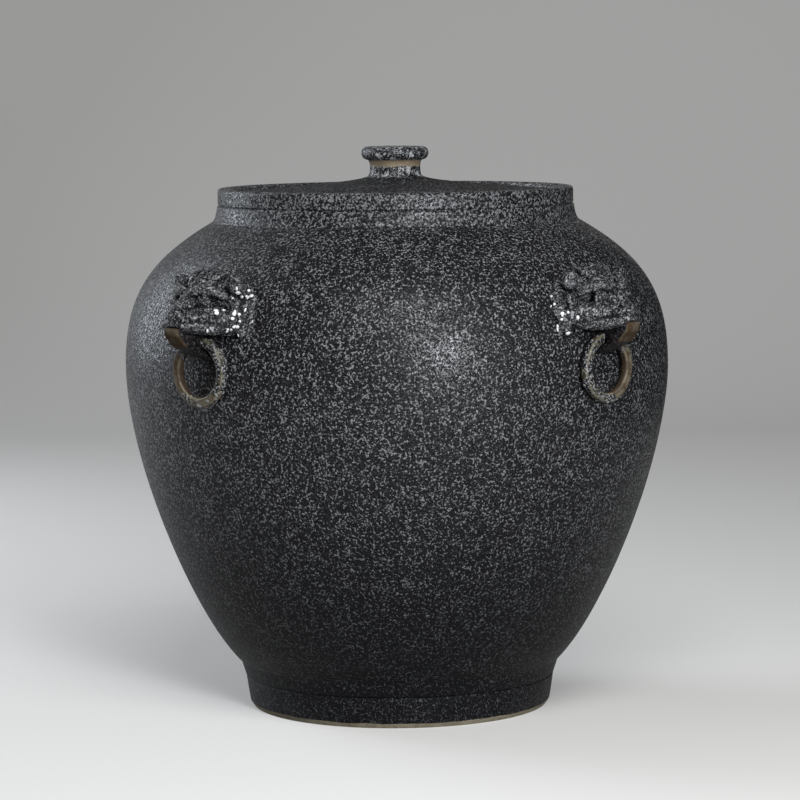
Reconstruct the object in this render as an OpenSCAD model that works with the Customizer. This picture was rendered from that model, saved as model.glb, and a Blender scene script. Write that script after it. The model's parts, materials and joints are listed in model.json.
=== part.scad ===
// Water seal pickle jar: a stoneware jar with a water gutter round its mouth,
// a lid that stands in the gutter, and four lion masks that hold loose rings.
// The origin is the middle of the underside of the foot, with +Z up and the front towards -Y.

/* [Body] */
// Radius of the belly at its widest
belly_r = 175; // [165:1:185]
// Height of the widest point of the belly, where the two halves of the wall are joined
belly_z = 222; // [214:1:230]
// Thickness of the wall, measured square to it
wall_t = 9; // [6:0.5:11]
// Width of the foot of the wall, from the inside floor to the outside
wall_foot_w = 14.3; // [10:0.1:20]

/* [Foot] */
// Radius of the foot ring at its top, where the wall rises from it
foot_r = 100.3; // [96:0.1:104]
// Height of the foot ring
foot_h = 20; // [16:1:24]
// How much the foot ring narrows on its way down
foot_taper = 2.7; // [0:0.1:5]
// Height of the unglazed bevel round the bottom edge
foot_bevel = 3; // [1:0.5:4]
// Width of the foot ring, from the recess under the jar to the outside
foot_w = 16.3; // [12:0.1:24]
// Depth of the recess under the jar
recess_d = 9; // [4:1:12]

/* [Gutter and mouth] */
// Height of the rim above the ground
rim_z = 335; // [330:1:340]
// Outer radius of the rim band
rim_r = 114.5; // [112:0.5:118]
// Thickness of the rim
rim_t = 8; // [6:0.5:9]
// Height of the rim band
rim_band_h = 10.5; // [8:0.5:12]
// Depth of the groove under the rim band
rim_groove = 1; // [0.5:0.1:2]
// Height of the neck and rim above the shoulder
neck_h = 21.6; // [20:0.1:24]
// How far the foot of the neck spreads beyond the rim
neck_flare = 3.8; // [2:0.1:6]
// Depth of the water gutter, from the rim to its floor
gutter_d = 29; // [27:1:32]
// Width of the water gutter, from the mouth collar to the inside of the rim
gutter_w = 22.5; // [20:0.5:26]
// Thickness of the mouth collar
collar_t = 7; // [5:0.5:8]
// Height of the mouth collar above the gutter floor
collar_h = 16; // [10:1:17]

/* [Lid] */
// Gap all round between the lid and the inside of the rim
lid_gap = 2; // [1:0.5:3]
// How far the lid's edge lies below the top of the rim
lid_sink = 3; // [2:0.5:4]
// Thickness of the lid at its edge
lid_t = 7; // [6:0.5:8]
// Depth of the hollow under the middle of the lid
lid_hollow = 3.5; // [2:0.5:4]
// How far the lid rises from its edge to the knob
lid_rise = 9.5; // [7:0.5:12]
// Thickness of the lid's skirt
skirt_t = 7; // [5:0.5:8]
// Gap between the mouth collar and the skirt
skirt_gap = 9; // [6:0.5:10]
// Radius of the knob
knob_r = 21.8; // [20:0.2:26]
// Thickness of the knob, which has a fully round edge
knob_t = 8.5; // [6:0.5:10]
// Radius of the knob's stem at its waist
stem_r = 16.3; // [12:0.1:17]
// Height of the knob's stem
stem_h = 11; // [8:0.5:16]
// How far the foot of the stem spreads beyond its waist
stem_spread = 2.7; // [1:0.1:4]
// How far the bare throat under the knob spreads beyond the waist
throat_spread = 1.7; // [1:0.1:3]

/* [Lion masks] */
// Angle of each mask from the front or the back of the jar, in degrees
mask_turn = 43.5; // [35:0.5:55]
// Height of the middle of a mask
mask_z = 266; // [262:1:270]
// Width of a mask along the shoulder
mask_w = 73; // [69:1:80]
// Height of a mask up the shoulder
mask_h = 46; // [42:1:50]
// Thickness of the pad of clay under a mask
pad_t = 4; // [3:0.5:6]
// Radius of a curl of the mane
curl_r = 6; // [5:0.5:7]
// How far the curls of the mane stand out from the shoulder
curl_out = 7.5; // [6.5:0.5:9]
// How far the tip of the nose stands out from the shoulder, measured level
nose_out = 38; // [30:1:40]
// Gap between a hanging ring and the roof and sides of the lion's mouth
mouth_gap = 1.6; // [1.2:0.1:3]

/* [Rings] */
// Radius of a ring to the middle of its bar
ring_r = 18.6; // [17:0.2:20]
// Thickness of the bar of a ring
ring_t = 6.8; // [6:0.2:7.4]
// Gap between a hanging ring and the widest part of the belly
ring_gap = 1.6; // [1.2:0.1:3]
// Height of the axis that a ring swings about
ring_z = 246; // [243:1:249]
// Width of the tongue, and so the length of its bore that holds a ring
eye_l = 15; // [12:1:18]
// How far the tip of the tongue stands out from the bore
tongue_out = 26; // [20:1:27]
// How far the underside of the tongue's tip lies below the middle of the bore
tongue_drop = 2; // [0:0.5:4]
// Thickness of clay round the tongue's bore
eye_wall = 4; // [3:0.5:5]
// Play of a ring in the tongue's bore
ring_play = 0.4; // [0.2:0.1:0.8]

/* [Hidden] */

GLAZE = [0.15, 0.15, 0.16];
CLAY = [0.55, 0.47, 0.37];

TURN_FN = 180;
BALL_FN = 72;
SMALL_FN = 48;
BEYOND = 40;

// Steps along the curves of the wall below and above the belly, of a short curve, and round an edge
LOW_STEPS = 26;
HIGH_STEPS = 20;
SHORT_STEPS = 6;
EDGE_STEPS = 6;

// The wall's curve starts inside the foot ring's top edge, and shows from this far outside it
WALL_START = [-5.5, 3.7];
CREASE = 2.5;

// Lengths of the curve's handles: out and up from its start, down and up from the belly,
// and out and down from the foot of the neck
START_PULL = [26, 8.5];
BELLY_PULL_DOWN = 71;
BELLY_PULL_UP = 48;
SHOULDER_PULL = [38, 22];

// How far the neck stands out beyond the rim band just under the groove, and its two handles,
// each out from the rim band and up or down from the neck's end
NECK_OUT = 0.4;
NECK_PULL_UP = [1.4, 2];
NECK_PULL_DOWN = [0.8, 4];

// Rounding of the rim's outer and inner edge, of the lid's upper edge and of its lower one
RIM_ROUND_OUT = 2.2;
RIM_ROUND_IN = 3;
LID_ROUND = 2.5;
LID_CHAMFER = 1;

// Width of the unglazed bevel as a share of its height
BEVEL_SLOPE = 0.7;

// The hollow under the lid ends this far inside the skirt. It is flat out to the first share of
// its radius, and the other two shares place the handles of its edge
HOLLOW_INSET = 2;
HOLLOW_SHARES = [0.55, 0.77, 0.87];

// Handles of the lid's dome: the outer one as shares of the lid's radius and rise,
// the inner one as a distance from the stem and a share of the rise
DOME_PULL_OUT = [0.67, 0.42];
DOME_PULL_IN = [9.3, 0.6];

// Shares of the stem's height between which it is narrowest, and of each flare for its handle
WAIST = [0.45, 0.6];
FLARE_PULL = 0.6;

// Curls of the mane, and the share of the full turn round the mask that they take
MANE_CURLS = 13;
MANE_SHARE = 0.79;

// Features of the face: across and up from the middle as shares of half the mask's width and
// height, how far out as a share of the nose, and the radius as a share of a curl's
EAR = [0.62, 0.66, 0.46, 0.92];
FOREHEAD = [0, 0.62, 0.66, 2.1];
BROW = [0.26, 0.44, 0.74, 1];
EYE = [0.3, 0.16, 0.66, 0.83];
CHEEK = [0.48, -0.3, 0.6, 1.5];
BRIDGE = [0, 0.16, 0.82, 1.4];
NOSE = [0, -0.16, 1, 1.3];
LIP = [0.24, -0.3, 0.84, 1.1];

// Half the height over which the lean of the wall is measured
LEAN_SPAN = 2;

floor_r = foot_r - wall_foot_w;
recess_r = foot_r - foot_w;
wall_start = [foot_r, foot_h] + WALL_START;
shoulder_z = rim_z - neck_h;
shoulder_r = rim_r + neck_flare;
band_z = rim_z - rim_band_h;
seat_z = rim_z - gutter_d;
gutter_r = rim_r - rim_t;
collar_r = gutter_r - gutter_w;
mouth_r = collar_r - collar_t;

lid_r = gutter_r - lid_gap;
lid_edge_z = rim_z - lid_sink;
lid_under_z = lid_edge_z - lid_t;
lid_top_z = lid_edge_z + lid_rise;
skirt_in_r = collar_r + skirt_gap;
stem_foot_r = stem_r + stem_spread;
throat_r = stem_r + throat_spread;
knob_z = lid_top_z + stem_h;

bar_r = ring_t / 2;
pivot_r = belly_r + ring_gap + bar_r;
// Where the ring leaves the tongue its bar has dropped and slopes, so it needs a taller bore
eye_slope = asin(eye_l / 2 / ring_r);
eye_drop = ring_r * (1 - cos(eye_slope)) + bar_r / cos(eye_slope) - bar_r;
ring_hang = ring_r - eye_drop / 2;
eye_bore_r = bar_r + eye_drop / 2 + ring_play;
eye_r = eye_bore_r + eye_wall;

mask_half_w = mask_w / 2;
mask_half_h = mask_h / 2;
mouth_half_w = ring_r + bar_r + mouth_gap;
mouth_roof_z = ring_z + bar_r + mouth_gap;

// Points along a cubic curve from a to d, with b and c as its handles
function curve(a, b, c, d, steps) = [
    for (i = [0 : steps])
        let (t = i / steps, s = 1 - t)
            s * s * s * a + 3 * s * s * t * b + 3 * s * t * t * c + t * t * t * d
];

// Points along an arc about c, from angle a0 to a1
function arc(c, r, a0, a1, steps) = [
    for (i = [0 : steps])
        let (a = a0 + (a1 - a0) * i / steps)
            [c[0] + r * cos(a), c[1] + r * sin(a)]
];

// All the points but the first
function after_first(points) = [for (i = [1 : len(points) - 1]) points[i]];

// The curve moved towards the axis by t, square to itself
function inset(points, t) = [
    for (i = [0 : len(points) - 1])
        let (a = points[max(i - 1, 0)], b = points[min(i + 1, len(points) - 1)], d = b - a)
            points[i] + t / norm(d) * [-d[1], d[0]]
];

wall_low = curve(wall_start, wall_start + START_PULL,
                 [belly_r, belly_z - BELLY_PULL_DOWN], [belly_r, belly_z], LOW_STEPS);
wall_high = curve([belly_r, belly_z], [belly_r, belly_z + BELLY_PULL_UP],
                  [shoulder_r + SHOULDER_PULL[0], shoulder_z - SHOULDER_PULL[1]],
                  [shoulder_r, shoulder_z], HIGH_STEPS);
wall = concat(wall_low, after_first(wall_high));
neck = curve([shoulder_r, shoulder_z], [rim_r + NECK_PULL_UP[0], shoulder_z + NECK_PULL_UP[1]],
             [rim_r + NECK_PULL_DOWN[0], band_z - NECK_PULL_DOWN[1]],
             [rim_r + NECK_OUT, band_z - rim_groove], SHORT_STEPS);
inner_wall = inset(wall, wall_t);

// Radius of the outside of the wall at a height
function wall_r(z) = lookup(z, [for (p = wall) [p[1], p[0]]]);

// How far the outside of the wall leans back at a height, in degrees
function lean(z) = atan2(wall_r(z - LEAN_SPAN) - wall_r(z + LEAN_SPAN), 2 * LEAN_SPAN);

// The whole outside of the jar as one outline, filled in to the axis
module jar_outline() {
    bottom_r = foot_r - foot_taper;
    polygon(concat(
        [[0, 0], [bottom_r - foot_bevel * BEVEL_SLOPE, 0], [bottom_r, foot_bevel], [foot_r, foot_h]],
        [for (p = wall) if (p[0] > foot_r + CREASE) p],
        after_first(neck),
        [[rim_r - rim_groove, band_z - rim_groove / 2], [rim_r, band_z + rim_groove / 2]],
        arc([rim_r - RIM_ROUND_OUT, rim_z - RIM_ROUND_OUT], RIM_ROUND_OUT, 0, 90, EDGE_STEPS),
        [[0, rim_z]]));
}

// What lies between two heights, out to any radius
module level(low, high) {
    translate([0, low])
        square([belly_r + BEYOND, high - low]);
}

module foot_ring() {
    color(GLAZE)
        rotate_extrude($fn = TURN_FN)
            difference() {
                intersection() {
                    jar_outline();
                    level(0, foot_h);
                }
                square([recess_r, foot_h]);
            }
}

module floor_slab() {
    color(GLAZE)
        translate([0, 0, recess_d])
            cylinder(r = recess_r, h = foot_h - recess_d, $fn = TURN_FN);
}

// The part of the jar's wall between two heights, open inside
module wall_section(low, high) {
    rotate_extrude($fn = TURN_FN)
        difference() {
            intersection() {
                jar_outline();
                level(low, high);
            }
            intersection() {
                polygon(concat([[0, foot_h], [floor_r, foot_h]],
                               [for (p = inner_wall) if (p[1] > foot_h + wall_t) p],
                               [[0, shoulder_z]]));
                level(foot_h, seat_z - wall_t);
            }
            square([mouth_r, rim_z]);
        }
}

module lower_wall() {
    color(GLAZE)
        wall_section(foot_h, belly_z);
}

module upper_wall() {
    color(GLAZE)
        wall_section(belly_z, seat_z);
}

module gutter_wall() {
    color(GLAZE)
        rotate_extrude($fn = TURN_FN)
            difference() {
                intersection() {
                    jar_outline();
                    level(seat_z, rim_z);
                }
                polygon(concat(
                    [[0, 0], [gutter_r, 0]],
                    arc([gutter_r + RIM_ROUND_IN, rim_z - RIM_ROUND_IN], RIM_ROUND_IN, 180, 90,
                        EDGE_STEPS),
                    [[gutter_r + RIM_ROUND_IN, rim_z + BEYOND], [0, rim_z + BEYOND]]));
            }
}

module mouth_collar() {
    lip = collar_t / 2;
    color(GLAZE)
        rotate_extrude($fn = TURN_FN)
            union() {
                translate([mouth_r, seat_z])
                    square([collar_t, collar_h - lip]);
                translate([mouth_r + lip, seat_z + collar_h - lip])
                    circle(r = lip, $fn = SMALL_FN);
            }
}

// What is drawn here along +X stands on the shoulder, where across is the distance along the
// wall from the middle of the mask, and tilt is how far it points up, in degrees
module on_shoulder(across, z, tilt) {
    rotate([0, 0, across / wall_r(z) * 180 / PI])
        translate([wall_r(z), 0, z])
            rotate([0, -tilt, 0])
                children();
}

// A curl of the mane: a ball pressed into the pad, square to the wall
module curl(across, z) {
    on_shoulder(across, z, lean(z))
        translate([curl_out - curl_r, 0, 0])
            sphere(r = curl_r, $fn = BALL_FN);
}

// A feature of the face: a lump with a round end that stands out level from the wall,
// in a pair where it doesn't lie in the middle
module feature(shares) {
    r = shares[3] * curl_r;
    reach = shares[2] * nose_out - r;
    for (side = shares[0] == 0 ? [1] : [-1, 1])
        on_shoulder(side * shares[0] * mask_half_w, mask_z + shares[1] * mask_half_h, 0) {
            translate([reach, 0, 0])
                sphere(r = r, $fn = BALL_FN);
            rotate([0, 90, 0])
                cylinder(r = r, h = reach, $fn = BALL_FN);
        }
}

// The pad of clay under a mask: a layer on the wall, with round ends
module clay_pad() {
    end_r = mask_half_h - curl_r;
    end_x = mask_half_w - curl_r - end_r;
    intersection() {
        rotate_extrude($fn = TURN_FN)
            polygon(concat([[0, belly_z]], inset(wall_high, -pad_t), [[0, shoulder_z]]));
        translate([0, 0, mask_z])
            rotate([90, 0, 90])
                linear_extrude(belly_r + BEYOND)
                    union() {
                        for (x = [-end_x, end_x])
                            translate([x, 0])
                                circle(r = end_r, $fn = SMALL_FN);
                        square([2 * end_x, 2 * end_r], center = true);
                    }
    }
}

// The part of the jar that the masks and tongues are pressed against
module shoulder_core() {
    rotate_extrude($fn = TURN_FN)
        intersection() {
            jar_outline();
            level(ring_z - BEYOND, rim_z);
        }
}

// The tongue seen from its side, about the bore, with its root buried in the wall
module tongue_outline() {
    polygon([[-BEYOND, -eye_r], [0, -eye_r], [tongue_out, -tongue_drop], [tongue_out, eye_r],
             [-BEYOND, eye_r]]);
}

// What is drawn here lies along the swing axis of a ring, and is long across the mask
module along_axis(length) {
    translate([pivot_r, 0, ring_z])
        rotate([90, 0, 0])
            linear_extrude(length, center = true)
                children();
}

// A lion's head facing +X, before it is cut to fit the wall
module lion_head() {
    clay_pad();
    // Mane: a row of curls from one cheek over the top to the other
    for (i = [0 : MANE_CURLS - 1]) {
        a = 90 + 360 * MANE_SHARE * (i / (MANE_CURLS - 1) - 1 / 2);
        curl((mask_half_w - curl_r) * cos(a), mask_z + (mask_half_h - curl_r) * sin(a));
    }
    feature(EAR);
    feature(FOREHEAD);
    feature(BROW);
    feature(EYE);
    feature(CHEEK);
    feature(BRIDGE);
    feature(NOSE);
    feature(LIP);
}

// The head, cut to fit the wall and the tongue, with the mouth open round the ring
module lion_mask() {
    difference() {
        lion_head();
        shoulder_core();
        along_axis(eye_l)
            tongue_outline();
        translate([pivot_r - BEYOND, -mouth_half_w, mouth_roof_z - BEYOND])
            cube([2 * BEYOND, 2 * mouth_half_w, BEYOND]);
    }
}

module lion_tongue() {
    difference() {
        along_axis(eye_l)
            tongue_outline();
        along_axis(eye_l + BEYOND)
            circle(r = eye_bore_r, $fn = SMALL_FN);
        shoulder_core();
    }
}

module loose_ring() {
    translate([pivot_r, 0, ring_z - ring_hang])
        rotate([0, 90, 0])
            rotate_extrude($fn = TURN_FN)
                translate([ring_r, 0])
                    circle(r = bar_r, $fn = SMALL_FN);
}

// Turns a piece that faces +X to one of the four places on the shoulder
module front_left() {
    rotate([0, 0, -90 - mask_turn])
        children();
}

module front_right() {
    rotate([0, 0, -90 + mask_turn])
        children();
}

module rear_left() {
    rotate([0, 0, 90 + mask_turn])
        children();
}

module rear_right() {
    rotate([0, 0, 90 - mask_turn])
        children();
}

module front_left_mask() {
    color(GLAZE) front_left() lion_mask();
}

module front_right_mask() {
    color(GLAZE) front_right() lion_mask();
}

module rear_left_mask() {
    color(GLAZE) rear_left() lion_mask();
}

module rear_right_mask() {
    color(GLAZE) rear_right() lion_mask();
}

module front_left_tongue() {
    color(CLAY) front_left() lion_tongue();
}

module front_right_tongue() {
    color(CLAY) front_right() lion_tongue();
}

module rear_left_tongue() {
    color(CLAY) rear_left() lion_tongue();
}

module rear_right_tongue() {
    color(CLAY) rear_right() lion_tongue();
}

module front_left_ring() {
    color(CLAY) front_left() loose_ring();
}

module front_right_ring() {
    color(CLAY) front_right() loose_ring();
}

module rear_left_ring() {
    color(CLAY) rear_left() loose_ring();
}

module rear_right_ring() {
    color(CLAY) rear_right() loose_ring();
}

module lid_plate() {
    hollow_r = skirt_in_r - HOLLOW_INSET;
    hollow_z = lid_under_z + lid_hollow;
    dome_r = lid_r - LID_ROUND;
    color(GLAZE)
        rotate_extrude($fn = TURN_FN)
            polygon(concat(
                [[0, hollow_z]],
                curve([hollow_r * HOLLOW_SHARES[0], hollow_z], [hollow_r * HOLLOW_SHARES[1], hollow_z],
                      [hollow_r * HOLLOW_SHARES[2], lid_under_z], [hollow_r, lid_under_z],
                      SHORT_STEPS),
                [[lid_r - LID_CHAMFER, lid_under_z], [lid_r, lid_under_z + LID_CHAMFER]],
                arc([dome_r, lid_edge_z - LID_ROUND], LID_ROUND, 0, 90, EDGE_STEPS),
                after_first(curve(
                    [dome_r, lid_edge_z],
                    [lid_r * DOME_PULL_OUT[0], lid_edge_z + lid_rise * DOME_PULL_OUT[1]],
                    [stem_foot_r + DOME_PULL_IN[0], lid_edge_z + lid_rise * DOME_PULL_IN[1]],
                    [stem_foot_r, lid_top_z], 2 * SHORT_STEPS)),
                [[0, lid_top_z]]));
}

module lid_skirt() {
    color(GLAZE)
        rotate_extrude($fn = TURN_FN)
            translate([skirt_in_r, seat_z])
                square([skirt_t, lid_under_z - seat_z]);
}

module knob_stem() {
    waist_low_z = lid_top_z + stem_h * WAIST[0];
    waist_high_z = lid_top_z + stem_h * WAIST[1];
    color(CLAY)
        rotate_extrude($fn = TURN_FN)
            polygon(concat(
                [[0, lid_top_z]],
                curve([stem_foot_r, lid_top_z], [stem_r, lid_top_z],
                      [stem_r, lid_top_z + stem_h * WAIST[0] * FLARE_PULL], [stem_r, waist_low_z],
                      SHORT_STEPS),
                curve([stem_r, waist_high_z], [stem_r, knob_z - stem_h * WAIST[0] * FLARE_PULL],
                      [throat_r, knob_z - stem_h * WAIST[0] * (1 - FLARE_PULL)], [throat_r, knob_z],
                      SHORT_STEPS),
                [[0, knob_z]]));
}

module knob() {
    edge_r = knob_t / 2;
    color(GLAZE)
        rotate_extrude($fn = TURN_FN)
            union() {
                translate([0, knob_z])
                    square([knob_r - edge_r, knob_t]);
                translate([knob_r - edge_r, knob_z + edge_r])
                    circle(r = edge_r, $fn = SMALL_FN);
            }
}

foot_ring();
floor_slab();
lower_wall();
upper_wall();
gutter_wall();
mouth_collar();
front_left_mask();
front_right_mask();
rear_left_mask();
rear_right_mask();
front_left_tongue();
front_right_tongue();
rear_left_tongue();
rear_right_tongue();
front_left_ring();
front_right_ring();
rear_left_ring();
rear_right_ring();
lid_plate();
lid_skirt();
knob_stem();
knob();
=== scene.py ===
"""Water seal pickle jar: the dressed model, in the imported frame, laid out as a Blender add-on."""

import json
import math

import bmesh
import bpy
import numpy as np
from bpy.props import FloatProperty, FloatVectorProperty, IntProperty, PointerProperty
from mathutils import Matrix, Vector, noise

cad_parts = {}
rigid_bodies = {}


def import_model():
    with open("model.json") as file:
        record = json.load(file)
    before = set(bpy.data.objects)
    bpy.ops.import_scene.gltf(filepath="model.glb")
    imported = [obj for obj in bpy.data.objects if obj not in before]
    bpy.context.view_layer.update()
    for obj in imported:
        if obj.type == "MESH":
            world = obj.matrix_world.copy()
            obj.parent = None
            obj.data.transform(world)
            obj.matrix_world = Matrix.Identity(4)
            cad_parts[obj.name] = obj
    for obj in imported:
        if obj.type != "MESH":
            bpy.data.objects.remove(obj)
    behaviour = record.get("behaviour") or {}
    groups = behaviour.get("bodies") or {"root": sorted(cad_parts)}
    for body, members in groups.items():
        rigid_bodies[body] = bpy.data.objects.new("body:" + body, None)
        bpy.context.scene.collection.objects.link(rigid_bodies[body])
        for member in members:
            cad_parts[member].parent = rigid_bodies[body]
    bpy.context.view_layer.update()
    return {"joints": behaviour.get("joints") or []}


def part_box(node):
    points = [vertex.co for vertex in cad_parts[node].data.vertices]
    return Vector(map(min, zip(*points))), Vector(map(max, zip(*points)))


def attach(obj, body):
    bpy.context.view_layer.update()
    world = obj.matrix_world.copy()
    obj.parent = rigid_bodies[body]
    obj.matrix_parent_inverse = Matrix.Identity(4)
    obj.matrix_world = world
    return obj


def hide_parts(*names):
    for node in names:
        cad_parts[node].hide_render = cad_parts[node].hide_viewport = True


bl_info = {
    "name": "Water seal pickle jar",
    "version": (1, 0, 0),
    "blender": (4, 5, 0),
    "location": "3D View > Sidebar > Pickle Jar",
    "description": "Throws, models and glazes a stoneware pickle jar with a water gutter and lion masks",
    "category": "Object",
}

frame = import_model()

MM = 0.001
PLACES = ("front_left", "front_right", "rear_left", "rear_right")
# How far each head stands out, as a share of the model's
REACH = {"front_left": 0.97, "front_right": 0.88, "rear_left": 0.92, "rear_right": 0.95}
# How far from a head's middle its white drops begin, in millimetres
DROPS_FROM = {"front_left": 16, "front_right": 24, "rear_left": 20, "rear_right": 18}


def top(node):
    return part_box(node)[1].z


def foot(node):
    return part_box(node)[0].z


def across(node):
    """Outer radius of a turned node."""
    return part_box(node)[1].x


def swing(place):
    return next(j for j in frame["joints"] if j["name"] == place + "_swing")


def turn_of(place):
    """Direction of a mask from the jar's axis, as an angle from +X."""
    x, y, _ = swing(place)["pos_m"]
    return math.atan2(y, x)


PIVOT = Vector(swing("front_left")["pos_m"])


def size(name, description, default, low=0.0, high=1.0):
    return FloatProperty(name=name, description=description, default=default, min=low, max=high,
                         subtype="DISTANCE", unit="LENGTH", precision=4)


def colour(name, description, default):
    return FloatVectorProperty(name=name, description=description, default=default, size=3,
                               min=0.0, max=1.0, subtype="COLOR")


class JarSizes(bpy.types.PropertyGroup):
    belly_r: size("Belly radius", "Radius of the belly at its widest", across("lower_wall"))
    belly_z: size("Belly height", "Height of the widest point", top("lower_wall"))
    wall_t: size("Wall", "Thickness of the wall", 0.009)
    floor_r: size("Inside floor radius", "Radius of the floor inside the jar", 0.086)
    foot_r: size("Foot radius", "Radius of the foot at its top", across("foot_ring"))
    foot_h: size("Foot height", "Height of the foot band", top("foot_ring"))
    foot_taper: size("Foot taper", "How much the foot narrows on its way down", 0.0027)
    foot_bevel: size("Foot bevel", "Height of the bare bevel round the foot", 0.003)
    recess_r: size("Recess radius", "Radius of the recess under the jar", across("floor_slab"))
    recess_d: size("Recess depth", "Depth of the recess under the jar", foot("floor_slab"))
    rim_z: size("Rim height", "Height of the rim", top("gutter_wall"))
    rim_r: size("Rim radius", "Outer radius of the rim band", 0.1145)
    rim_t: size("Rim thickness", "Thickness of the rim", 0.008)
    rim_band: size("Rim band", "Height of the rim band", 0.0105)
    groove: size("Groove", "Depth of the groove under the rim band", 0.001)
    neck_flare: size("Neck flare", "How far the foot of the neck spreads", 0.0038)
    neck_h: size("Neck height", "Height of neck and rim above the shoulder", 0.0216)
    seat_z: size("Gutter floor", "Height of the gutter's floor", foot("gutter_wall"))
    collar_r: size("Collar radius", "Outer radius of the mouth collar", across("mouth_collar"))
    collar_t: size("Collar thickness", "Thickness of the mouth collar", 0.007)
    collar_top: size("Collar top", "Height of the top of the mouth collar", top("mouth_collar"))
    unevenness: size("Unevenness", "How far the thrown surface wanders", 0.0003)
    segments: IntProperty(name="Segments", description="Facets round the axis", default=240, min=24)


class LidSizes(bpy.types.PropertyGroup):
    lid_r: size("Lid radius", "Radius of the lid", across("lid_plate"))
    lid_t: size("Lid thickness", "Thickness of the lid at its edge", 0.007)
    under_z: size("Lid underside", "Height of the lid's underside at its edge", foot("lid_plate"))
    top_z: size("Dome top", "Height of the dome at the knob's stem", top("lid_plate"))
    hollow: size("Hollow", "Depth of the hollow under the lid", 0.0035)
    skirt_r: size("Skirt radius", "Outer radius of the skirt", across("lid_skirt"))
    skirt_t: size("Skirt thickness", "Thickness of the skirt", 0.007)
    skirt_foot: size("Skirt foot", "Height of the lower edge of the skirt", foot("lid_skirt"))
    stem_r: size("Stem radius", "Radius of the stem at its waist", 0.0163)
    stem_foot_r: size("Stem foot", "Radius of the stem's foot", across("knob_stem"))
    throat_r: size("Throat", "Radius of the bare throat under the knob", 0.018)
    knob_r: size("Knob radius", "Radius of the knob", across("knob"))
    knob_z: size("Knob underside", "Height of the knob's underside", foot("knob"))
    knob_top: size("Knob top", "Height of the top of the knob", top("knob"))


class MaskSizes(bpy.types.PropertyGroup):
    half_w: size("Half width", "Half of a mask's width along the shoulder", 0.0365)
    half_h: size("Half height", "Half of a mask's height", 0.023)
    middle_z: size("Middle", "Height of the middle of a mask", 0.266)
    grain: size("Modelling grain", "Finest detail of the modelled clay", 0.0008, 0.0003, 0.003)
    curls: IntProperty(name="Curls", description="Curls in the mane's outer row", default=13, min=5)
    tongue_w: size("Tongue width", "Width of the tongue", 0.015)
    tongue_out: size("Tongue length", "How far the tongue reaches beyond its bore", 0.0256)
    bore_r: size("Bore", "Radius of the tongue's bore", 0.00475)
    ring_r: size("Ring radius", "Radius of a ring to the middle of its bar", 0.0186)
    bar_r: size("Ring bar", "Half the thickness of a ring's bar", 0.0034)
    drops: IntProperty(name="Drop density", description="White drops for each square metre",
                       default=95000, min=0)
    seed: IntProperty(name="Seed", description="Seed of everything that is scattered", default=4)


class GlazeColours(bpy.types.PropertyGroup):
    ground: colour("Ground", "Dark ground of the glaze", (0.0035, 0.0035, 0.0044))
    speck: colour("Speck", "Pale specks of the glaze", (0.215, 0.215, 0.22))
    frost: colour("Frost", "White granules where the glaze is thick", (0.40, 0.41, 0.42))
    clay: colour("Clay", "Bare buff clay", (0.36, 0.31, 0.22))
    burnt: colour("Burnt clay", "Bare clay that fired brown", (0.115, 0.066, 0.035))
    wash: colour("Wash", "Thin purple-grey wash over clay", (0.013, 0.0105, 0.0115))
    drop: colour("Drop", "Thick white drops of glaze", (0.23, 0.23, 0.225))
    speck_size: size("Speck spacing", "Size of the dark cells between the specks", 0.0038)


class StageSettings(bpy.types.PropertyGroup):
    distance: size("Camera distance", "Level distance from the jar's axis", 2.15, 0.5, 10.0)
    height: size("Camera height", "Height of the camera above the floor", 0.41, 0.0, 5.0)
    azimuth: FloatProperty(name="Camera azimuth", description="Direction of the camera from the jar",
                           default=math.radians(-91.8), subtype="ANGLE", unit="ROTATION")
    pitch: FloatProperty(name="Camera pitch", description="How far the camera looks down",
                         default=math.radians(5.66), subtype="ANGLE", unit="ROTATION")
    roll: FloatProperty(name="Camera roll", description="How far the camera leans",
                        default=math.radians(-0.55), subtype="ANGLE", unit="ROTATION")
    pan: FloatProperty(name="Camera pan", description="How far the camera looks past the axis",
                       default=math.radians(-0.046), subtype="ANGLE", unit="ROTATION")
    lens: FloatProperty(name="Lens", description="Focal length", default=100.0, min=10.0, unit="CAMERA")
    floor_colour: colour("Floor", "Pale floor and backdrop", (0.70, 0.69, 0.67))
    key: FloatProperty(name="Key light", description="Power of the soft key light", default=27.5,
                       unit="POWER")
    side: FloatProperty(name="Side light", description="Power of the soft side light", default=18.0,
                        unit="POWER")
    fill: FloatProperty(name="Fill", description="Strength of the light from all round", default=0.055)


GROUPS = {"jar_sizes": JarSizes, "lid_sizes": LidSizes, "mask_sizes": MaskSizes,
          "glaze_colours": GlazeColours, "stage_settings": StageSettings}


# Outlines, as points of radius and height in metres

def curve(a, b, c, d, steps):
    """Points along a cubic curve from a to d, with b and c as its handles."""
    t = np.linspace(0, 1, steps + 1)[:, None]
    a, b, c, d = (np.array(p, float) for p in (a, b, c, d))
    s = 1 - t
    return [tuple(p) for p in s ** 3 * a + 3 * s * s * t * b + 3 * s * t * t * c + t ** 3 * d]


def arc(centre, r, start, end, steps=8):
    angles = [math.radians(start + (end - start) * i / steps) for i in range(steps + 1)]
    return [(centre[0] + r * math.cos(a), centre[1] + r * math.sin(a)) for a in angles]


def stepped(points, gap):
    """The outline with points no further apart than gap."""
    out = [points[0]]
    for a, b in zip(points, points[1:]):
        n = max(1, math.ceil(math.dist(a, b) / gap))
        out += [(a[0] + (b[0] - a[0]) * i / n, a[1] + (b[1] - a[1]) * i / n) for i in range(1, n + 1)]
    return out


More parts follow.
